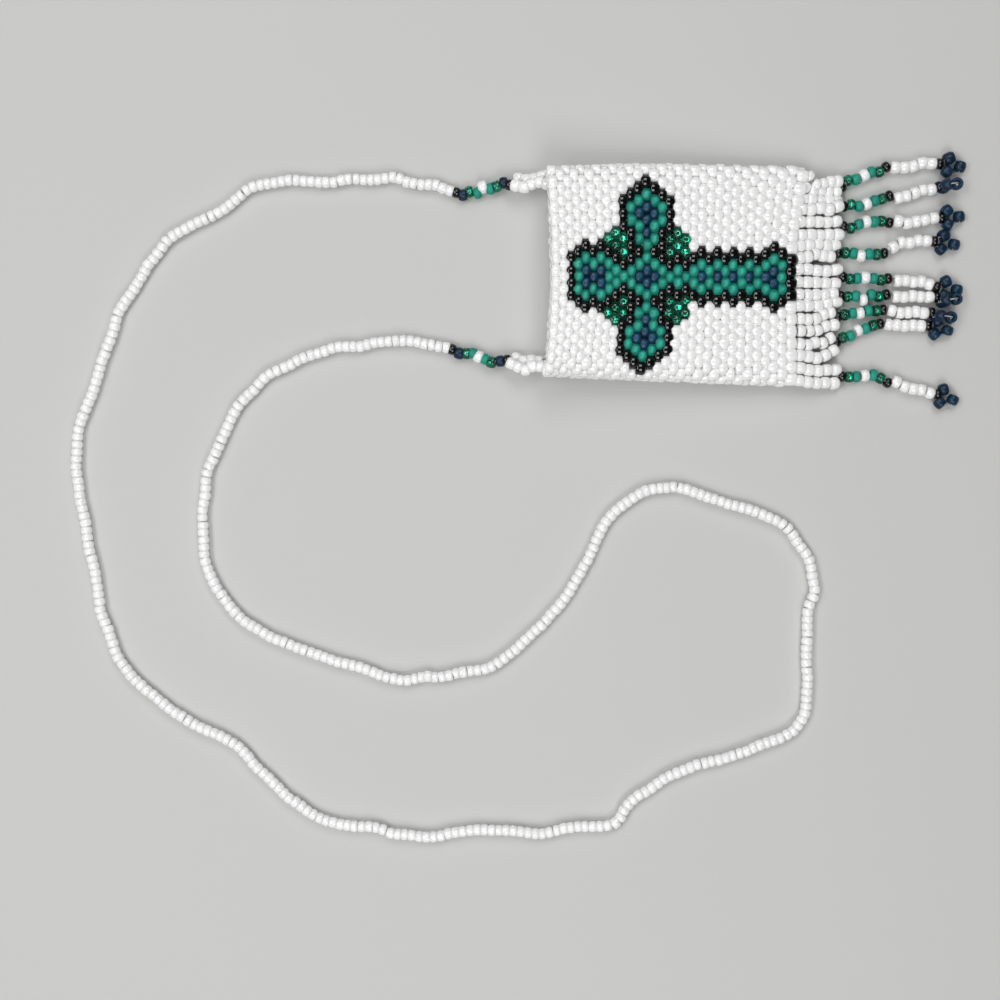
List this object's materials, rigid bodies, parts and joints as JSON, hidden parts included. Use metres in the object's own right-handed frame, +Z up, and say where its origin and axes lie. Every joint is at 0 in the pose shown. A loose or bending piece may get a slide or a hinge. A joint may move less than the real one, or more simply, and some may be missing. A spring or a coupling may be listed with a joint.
{
  "type": "beaded medicine pouch",
  "caption": "Small woven glass-bead neck pouch with an inlaid stepped cross, a fringe of jointed bead strands and a long strung-bead strap.",
  "frame": {"origin": "on the table, under the middle of the pouch and its fringe as it lies on its back, the strap and its connectors left out", "axes": "+X from the mouth towards the fringe, +Y across the pouch, +Z up out of the front with the cross"},
  "size_m": [0.1685, 0.129, 0.0107],
  "materials": {
    "white_beads": "pearl gloss",
    "black_beads": "gloss",
    "green_beads": "satin",
    "emerald_beads": "silver-lined gloss",
    "navy_beads": "satin"
  },
  "bodies": {
    "pouch": {"front_panel": "white_beads", "back_panel": "white_beads", "cross_outline": "black_beads", "cross_field": "green_beads", "cross_leaf_1": "emerald_beads", "cross_leaf_2": "emerald_beads", "cross_leaf_3": "emerald_beads", "cross_leaf_4": "emerald_beads", "cross_head_gem": "navy_beads", "cross_centre_gem": "navy_beads", "cross_upper_gem": "navy_beads", "cross_lower_gem": "navy_beads", "cross_shaft_gem_1": "navy_beads", "cross_shaft_gem_2": "navy_beads", "cross_shaft_gem_3": "navy_beads", "cross_shaft_gem_4": "navy_beads", "cross_foot_gem": "navy_beads", "strap_tab_upper": "white_beads", "strap_tab_lower": "white_beads", "connector_upper": "green_beads", "connector_lower": "green_beads", "strap": "white_beads"},
    "strand_1": {"strand_1_legs": "white_beads", "strand_1_band": "emerald_beads"},
    "strand_1_end": {"strand_1_drop": "white_beads", "strand_1_tip": "navy_beads"},
    "strand_2": {"strand_2_legs": "white_beads", "strand_2_band": "emerald_beads"},
    "strand_2_end": {"strand_2_drop": "white_beads", "strand_2_tip": "navy_beads"},
    "strand_3": {"strand_3_legs": "white_beads", "strand_3_band": "emerald_beads"},
    "strand_3_end": {"strand_3_drop": "white_beads", "strand_3_tip": "navy_beads"},
    "strand_4": {"strand_4_legs": "white_beads", "strand_4_band": "emerald_beads"},
    "strand_4_end": {"strand_4_drop": "white_beads", "strand_4_tip": "navy_beads"},
    "strand_5": {"strand_5_legs": "white_beads", "strand_5_band": "emerald_beads"},
    "strand_5_end": {"strand_5_drop": "white_beads", "strand_5_tip": "navy_beads"},
    "strand_6": {"strand_6_legs": "white_beads", "strand_6_band": "emerald_beads"},
    "strand_6_end": {"strand_6_drop": "white_beads", "strand_6_tip": "navy_beads"},
    "strand_7": {"strand_7_legs": "white_beads", "strand_7_band": "emerald_beads"},
    "strand_7_end": {"strand_7_drop": "white_beads", "strand_7_tip": "navy_beads"},
    "strand_8": {"strand_8_legs": "white_beads", "strand_8_band": "emerald_beads"},
    "strand_8_end": {"strand_8_drop": "white_beads", "strand_8_tip": "navy_beads"},
    "strand_9": {"strand_9_legs": "white_beads", "strand_9_band": "emerald_beads"},
    "strand_9_end": {"strand_9_drop": "white_beads", "strand_9_tip": "navy_beads"}
  },
  "joints": [
    {"name": "strand_1_root", "type": "hinge", "parent": "pouch", "child": "strand_1", "pos_m": [0.00985, 0.01855, 0.00445], "axis": [0, -1, 0], "range_deg": [0, 110]},
    {"name": "strand_1_knee", "type": "hinge", "parent": "strand_1", "child": "strand_1_end", "pos_m": [0.02839, 0.0213, 0.00235], "axis": [0, -1, 0], "range_deg": [0, 90]},
    {"name": "strand_2_root", "type": "hinge", "parent": "pouch", "child": "strand_2", "pos_m": [0.00985, 0.01405, 0.00445], "axis": [0, -1, 0], "range_deg": [0, 110]},
    {"name": "strand_2_knee", "type": "hinge", "parent": "strand_2", "child": "strand_2_end", "pos_m": [0.02908, 0.0158, 0.00235], "axis": [0, -1, 0], "range_deg": [0, 90]},
    {"name": "strand_3_root", "type": "hinge", "parent": "pouch", "child": "strand_3", "pos_m": [0.00985, 0.00955, 0.00445], "axis": [0, -1, 0], "range_deg": [0, 110]},
    {"name": "strand_3_knee", "type": "hinge", "parent": "strand_3", "child": "strand_3_end", "pos_m": [0.02907, 0.01094, 0.00235], "axis": [0, -1, 0], "range_deg": [0, 90]},
    {"name": "strand_4_root", "type": "hinge", "parent": "pouch", "child": "strand_4", "pos_m": [0.00985, 0.00505, 0.00445], "axis": [0, -1, 0], "range_deg": [0, 110]},
    {"name": "strand_4_knee", "type": "hinge", "parent": "strand_4", "child": "strand_4_end", "pos_m": [0.02811, 0.00559, 0.00235], "axis": [0, -1, 0], "range_deg": [0, 90]},
    {"name": "strand_5_root", "type": "hinge", "parent": "pouch", "child": "strand_5", "pos_m": [0.00985, 0.00055, 0.00445], "axis": [0, -1, 0], "range_deg": [0, 110]},
    {"name": "strand_5_knee", "type": "hinge", "parent": "strand_5", "child": "strand_5_end", "pos_m": [0.0289, 0.00015, 0.00235], "axis": [0, -1, 0], "range_deg": [0, 90]},
    {"name": "strand_6_root", "type": "hinge", "parent": "pouch", "child": "strand_6", "pos_m": [0.00985, -0.00395, 0.00445], "axis": [0, -1, 0], "range_deg": [0, 110]},
    {"name": "strand_6_knee", "type": "hinge", "parent": "strand_6", "child": "strand_6_end", "pos_m": [0.02855, -0.00278, 0.00235], "axis": [0, -1, 0], "range_deg": [0, 90]},
    {"name": "strand_7_root", "type": "hinge", "parent": "pouch", "child": "strand_7", "pos_m": [0.00985, -0.00845, 0.00445], "axis": [0, -1, 0], "range_deg": [0, 110]},
    {"name": "strand_7_knee", "type": "hinge", "parent": "strand_7", "child": "strand_7_end", "pos_m": [0.02788, -0.00557, 0.00235], "axis": [0, -1, 0], "range_deg": [0, 90]},
    {"name": "strand_8_root", "type": "hinge", "parent": "pouch", "child": "strand_8", "pos_m": [0.00985, -0.01295, 0.00445], "axis": [0, -1, 0], "range_deg": [0, 110]},
    {"name": "strand_8_knee", "type": "hinge", "parent": "strand_8", "child": "strand_8_end", "pos_m": [0.02718, -0.0084, 0.00235], "axis": [0, -1, 0], "range_deg": [0, 90]},
    {"name": "strand_9_root", "type": "hinge", "parent": "pouch", "child": "strand_9", "pos_m": [0.00985, -0.01745, 0.00445], "axis": [0, -1, 0], "range_deg": [0, 110]},
    {"name": "strand_9_knee", "type": "hinge", "parent": "strand_9", "child": "strand_9_end", "pos_m": [0.02877, -0.01912, 0.00235], "axis": [0, -1, 0], "range_deg": [0, 90]}
  ]
}
